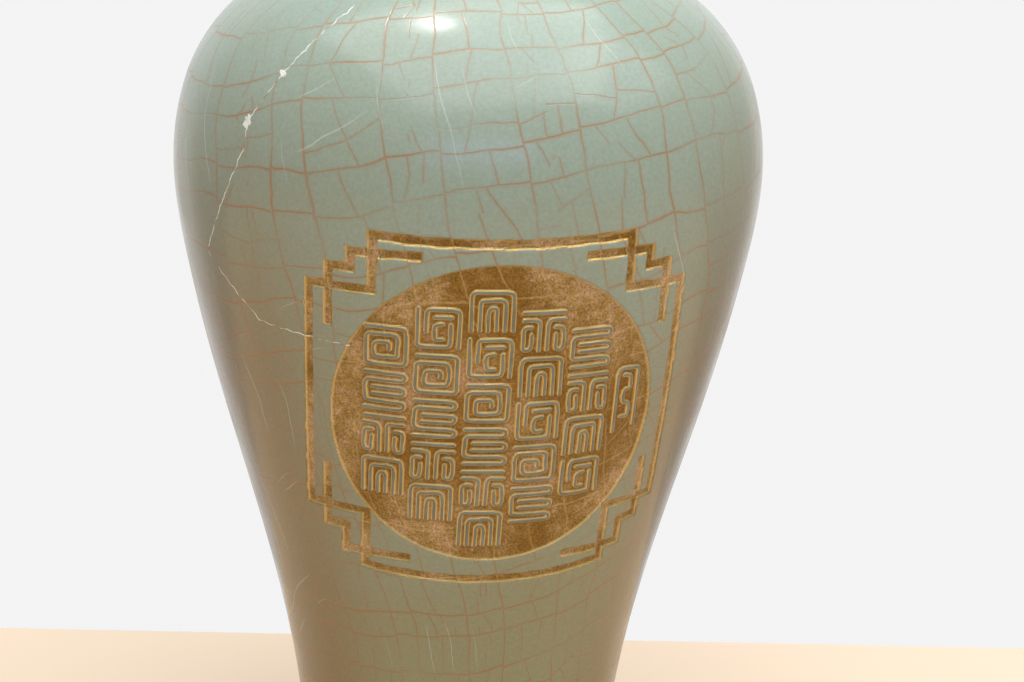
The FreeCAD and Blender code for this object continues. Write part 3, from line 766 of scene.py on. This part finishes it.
def mending_fill():
    """Pale filler and old glue of a mend: matt, chalky, with brown dirt in it."""
    material, tree, shader = new_material("pale_mending_fill", {"IOR": 1.45, "Roughness": 0.6})
    place = add(tree, "ShaderNodeTexCoord", out="Object")
    dirt = add(tree, NOISE, {"Vector": place, "Scale": 260, "Detail": 4}, "Fac")
    amount = fade(tree, dirt, 0.42, 0.62, 0.0, 1.0)
    colour = blend(tree, amount, "#D2D4CB", "#8E7A5E")
    tree.links.new(colour, shader.inputs["Base Color"])
    bump = add(tree, "ShaderNodeBump", {"Strength": 0.6, "Distance": 0.0002, "Height": dirt})
    tree.links.new(bump, shader.inputs["Normal"])
    return material


def plain_finish(name, colour, roughness):
    material, _, _ = new_material(name, {"Base Color": linear(colour), "Roughness": roughness})
    return material


# ---- pieces ----
def glaze_columns():
    """Angles of the glaze's columns: fine over the cartouche, wider round the back."""
    half = REACH / np.interp(-40, RUN, LINE[:, 0])
    fine = FINE / np.interp(0, RUN, LINE[:, 0])
    wide = COARSE * 1.1 / BELLY_R
    return steps((-math.pi, -half, wide), (-half, half, fine), (half, math.pi, wide))[:-1]


def make_outer_glaze(material):
    """The outer glaze, one closed coat, with the cartouche's ground sunk into it."""
    lip_v = RUN[(LINE[:, 1] > BELLY_Z) & (LINE[:, 0] < CROWN_R + 2)][0]
    rows = steps((RUN[0], RUN[0] + 4, 0.6), (RUN[0] + 4, -REACH, COARSE), (-REACH, REACH, FINE),
                 (REACH, lip_v, COARSE), (lip_v, RUN[-1], 0.7))
    angle, v = np.meshgrid(glaze_columns(), rows)
    u = angle * np.interp(v, RUN, LINE[:, 0])
    inside = np.full(u.shape, -9.0)
    near = (np.abs(v) < REACH + 1) & (np.abs(u) < REACH + 1)
    inside[near] = np.max(list(edge_depths(u[near], v[near]).values()), axis=0)
    roll = 0.5 * (1 - ease(v, RUN[0], RUN[0] + 1.5))
    outside = surface(angle, v, sunk(inside) + roll)
    back_rows = steps((RUN[0], RUN[-1], 5.0))
    angle, v = np.meshgrid(glaze_columns(), back_rows[::-1])
    points = np.concatenate([outside, surface(angle, v, GLAZE_T - 0.02)])
    quads = wrapped_quads(len(points), points.shape[1])
    return make_piece("celadon_outer_glaze", points.reshape(-1, 3), quads, material, ["outer_glaze"])


def make_gilding(material, cells):
    """Gold on the sunk ground: medallion, frame line and hooks, each its own piece."""
    side = np.arange(-REACH, REACH + FINE, FINE)
    u, v = np.meshgrid(side, side)
    depths = edge_depths(u, v)
    inside = np.max(list(depths.values()), axis=0)
    floor = np.maximum(sunk(inside) - 0.05 - 0.03 * waver(3 * u, 3 * v), 0.13)
    climb = np.full(u.shape, 99.0)
    for _, paths in cells:
        ends = np.concatenate(paths)
        near = (u > ends[:, 0].min() - 2) & (u < ends[:, 0].max() + 2)
        near &= (v > ends[:, 1].min() - 2) & (v < ends[:, 1].max() + 2)
        climb[near] = np.minimum(climb[near], distance_to(paths, u[near], v[near]))
    wall = ease(FRET_W / 2 - climb, -0.55, 0.14)
    top = floor * (1 - wall) + 0.25 * wall
    # painted highlight on the raised rims of the strips and in a band along the sunk ground's edge
    painted_highlight = np.maximum(ease(wall, 0.15, 0.8), 0.8 * np.exp(-((inside - 0.1) / 0.28) ** 2))
    # painted shade in a ring round the foot of each strip
    painted_shading_and_tone = np.exp(-((climb - 1.35) / 0.4) ** 2)
    over, under = spot(u, v, top), spot(u, v, np.full(u.shape, RECESS + 0.2))
    taken = np.zeros((len(side) - 1, len(side) - 1), bool)
    order = ["medallion", "frame"] + list(HOOKS)
    for name in order:
        d = depths[name]
        kept = np.max([d[:-1, :-1], d[1:, :-1], d[:-1, 1:], d[1:, 1:]], axis=0) > -SKIRT
        kept &= ~taken
        taken |= kept
        points, quads, places = slab(over, under, kept)
        node = f"{name}_gilding" if name in ("medallion", "frame") else f"hook_gilding_{name}"
        piece = make_piece(f"gold_{name}", points, quads, material, [node])
        for amount, values in (("painted_highlight", painted_highlight), ("painted_shading_and_tone", painted_shading_and_tone)):
            layer = piece.data.attributes.new(amount, "FLOAT", "POINT")
            layer.data.foreach_set("value", values.ravel()[places].astype(np.float32))


def make_frets(material, cells):
    """Raised strips, one piece for each column, with flat tops and worn shoulders."""
    section = ((-1, RECESS + 0.15), (-1, 0.6), (-0.86, 0.34), (-0.6, FRET_TOP + 0.03), (-0.2, FRET_TOP),
               (0.2, FRET_TOP), (0.6, FRET_TOP + 0.03), (0.86, 0.34), (1, 0.6), (1, RECESS + 0.15))
    half = FRET_W / 2

    def with_ends(path):
        """The path with half a strip's width added at each end."""
        start, end = path[1] - path[0], path[-1] - path[-2]
        first = path[0] - start / np.linalg.norm(start) * half
        last = path[-1] + end / np.linalg.norm(end) * half
        return np.concatenate([[first], path, [last]])

    for name in sorted({name for name, _ in cells}):
        own = [path for cell, paths in cells if cell == name for path in paths]
        points, quads = joined([raised_strip(with_ends(path), half, section) for path in own])
        make_piece(f"{name}_strips", points, quads, material, [name])


def place_on_wall(degrees, over_belly):
    """Across and up on the surface, for an angle round from the front and a height over the belly."""
    v = run_at(BELLY_Z + over_belly)
    return math.radians(degrees) * np.interp(v, RUN, LINE[:, 0]), v


def chip_patch(degrees, over_belly, radius):
    """Closed patch of filler with a ragged outline, a hair proud of the glaze: its points and quads."""
    u, v = place_on_wall(degrees, over_belly)
    turn = np.linspace(0, 2 * math.pi, 36, endpoint=False)
    ragged = 0.8 + 0.2 * np.sin(2 * turn + u) + 0.14 * np.sin(5 * turn + v) + 0.08 * np.sin(11 * turn)
    ragged *= radius
    rings = ((0.05, 0.5), (0.9, 0.5), (1.0, 0.1), (0.93, -0.02), (0.75, -0.05), (0.4, -0.02), (0.05, 0.0))
    points = [spot(u + share * ragged * np.cos(turn), v + 1.3 * share * ragged * np.sin(turn), depth)
              for share, depth in rings]
    quads = wrapped_quads(len(rings), len(turn))
    return np.concatenate(points), quads


def make_mend(material):
    """The mended break: a thin seam of old glue from the shoulder down to the frame, and two filled chips."""
    chips = [chip[:2] for chip in CHIPS.values()]
    seam = [SEAM_TOP, *chips, SEAM_DROP, SEAM_TURN, SEAM_KNEE, SEAM_END]
    path = np.array([place_on_wall(*point) for point in seam])
    run, _ = along(path, 1.0)
    wander = np.stack([np.sin(run[:, 1] * 1.1) + np.sin(run[:, 1] * 2.7 + 1), np.sin(run[:, 0] * 1.3)], 1)
    section = ((-1, 0.1), (-0.7, -0.02), (0.7, -0.02), (1, 0.1))
    points, quads = raised_strip(run + 0.22 * wander, 0.24, section, 0.5)
    make_piece("mended_seam", points, quads, material)
    for name, chip in CHIPS.items():
        points, quads = chip_patch(*chip)
        make_piece(f"{name}_patch", points, quads, material, [name])


def make_all():
    crackle = crackle_group()
    glaze = celadon_glaze(crackle)
    gold = worn_gilding(crackle)
    thin, tops, clay, fill = inner_glaze(), fret_glaze(), bare_clay(), mending_fill()
    cells = fret_cells()
    make_outer_glaze(glaze)
    make_gilding(gold, cells)
    make_frets(tops, cells)
    make_mend(fill)
    finishes = {"clay": clay, "glaze": thin, "gilding": gold, "fret_glaze": tops, "fill": fill}
    slots = {part["node"]: part["material_slot"] for part in frame["record"]["subparts"]}
    for name, node in frame["nodes"].items():
        node.data.materials.clear()
        node.data.materials.append(finishes[slots[name]])


# ---- stage, light and camera ----
def make_stage():
    """Pale table that ends a little behind the vase."""
    table = bpy.data.meshes.new("table")
    edge, far = 0.132, 3.0        # how far the table runs on behind the vase, and its other sides
    turn = Matrix.Rotation(math.radians(CAMERA_ROUND), 4, "Z")
    corners = [(-far, -far, 0), (far, -far, 0), (far, edge, 0), (-far, edge, 0)]
    table.from_pydata([turn @ Vector(c) for c in corners], [], [(0, 1, 2, 3)])
    floor = bpy.data.objects.new("table", table)
    bpy.context.scene.collection.objects.link(floor)
    table.materials.append(plain_finish("pale_table", "#D5C2AC", 0.6))


def area_light(name, place, size, power, colour, target=(0, 0, 0.2)):
    light = bpy.data.lights.new(name, "AREA")
    light.shape, light.size, light.size_y = "RECTANGLE", *size
    light.energy, light.color = power, linear(colour)[:3]
    lamp = bpy.data.objects.new(name, light)
    lamp.location = place
    lamp.rotation_euler = (Vector(target) - Vector(place)).to_track_quat("-Z", "Y").to_euler()
    bpy.context.scene.collection.objects.link(lamp)


CAMERA_ROUND = -6.95          # degrees round from the front
CAMERA_AWAY, CAMERA_UP = 0.7163, 0.3995
CAMERA_TURN, CAMERA_TIP, CAMERA_ROLL = 1.326, 17.283, 1.716
LENS_MM = 75.0


def make_camera():
    turn = Matrix.Rotation(math.radians(CAMERA_ROUND), 4, "Z")
    camera = bpy.data.objects.new("camera", bpy.data.cameras.new("camera"))
    camera.data.lens, camera.data.sensor_width = LENS_MM, 36.0
    aim = turn @ Matrix.Translation((0, -CAMERA_AWAY, CAMERA_UP))
    aim = aim @ Matrix.Rotation(math.radians(-CAMERA_TURN), 4, "Z")
    aim = aim @ Matrix.Rotation(math.radians(90 - CAMERA_TIP), 4, "X")
    camera.matrix_world = aim @ Matrix.Rotation(math.radians(CAMERA_ROLL), 4, "Z")
    bpy.context.scene.collection.objects.link(camera)
    bpy.context.scene.camera = camera


def make_light():
    """White surroundings, a large soft panel overhead, and a small bright one for the shoulder's glint."""
    world = bpy.data.worlds.new("white room")
    world.use_nodes = True
    tree = world.node_tree
    way = tree.nodes.new(SEPARATE)
    tree.links.new(add(tree, "ShaderNodeTexCoord", out="Generated"), way.inputs[0])
    sideways = fade(tree, way.outputs[0], -1.0, 1.0, 0.38, 0.48)
    above = fade(tree, way.outputs[2], 0.0, 1.0, 0.0, 0.4)
    around = calc(tree, "ADD", sideways, above)
    behind = soft_fade(tree, way.outputs[1], 0.6, 0.85, 0.0, 1.0)
    bright = add(tree, MIX, {0: behind, 2: around, 3: 0.9})
    tree.nodes["Background"].inputs["Color"].default_value = linear("#FFFFFF")
    tree.links.new(bright, tree.nodes["Background"].inputs["Strength"])
    bpy.context.scene.world = world
    bpy.context.scene.view_settings.view_transform = "Standard"
    area_light("ceiling", (0.05, -0.25, 1.75), (2.2, 2.3), 36, "#FFFEFA")
    area_light("right", (1.0, -0.3, 1.35), (1.0, 0.9), 3.5, "#FFFDF8")
    area_light("glint", (-0.18, 0.22, 1.65), (0.13, 0.08), 3.5, "#FFFFFF")
    area_light("window", (-0.1, -1.5, 0.74), (1.1, 0.25), 2.0, "#B4C6FF")


make_all()
make_stage()
make_camera()
make_light()
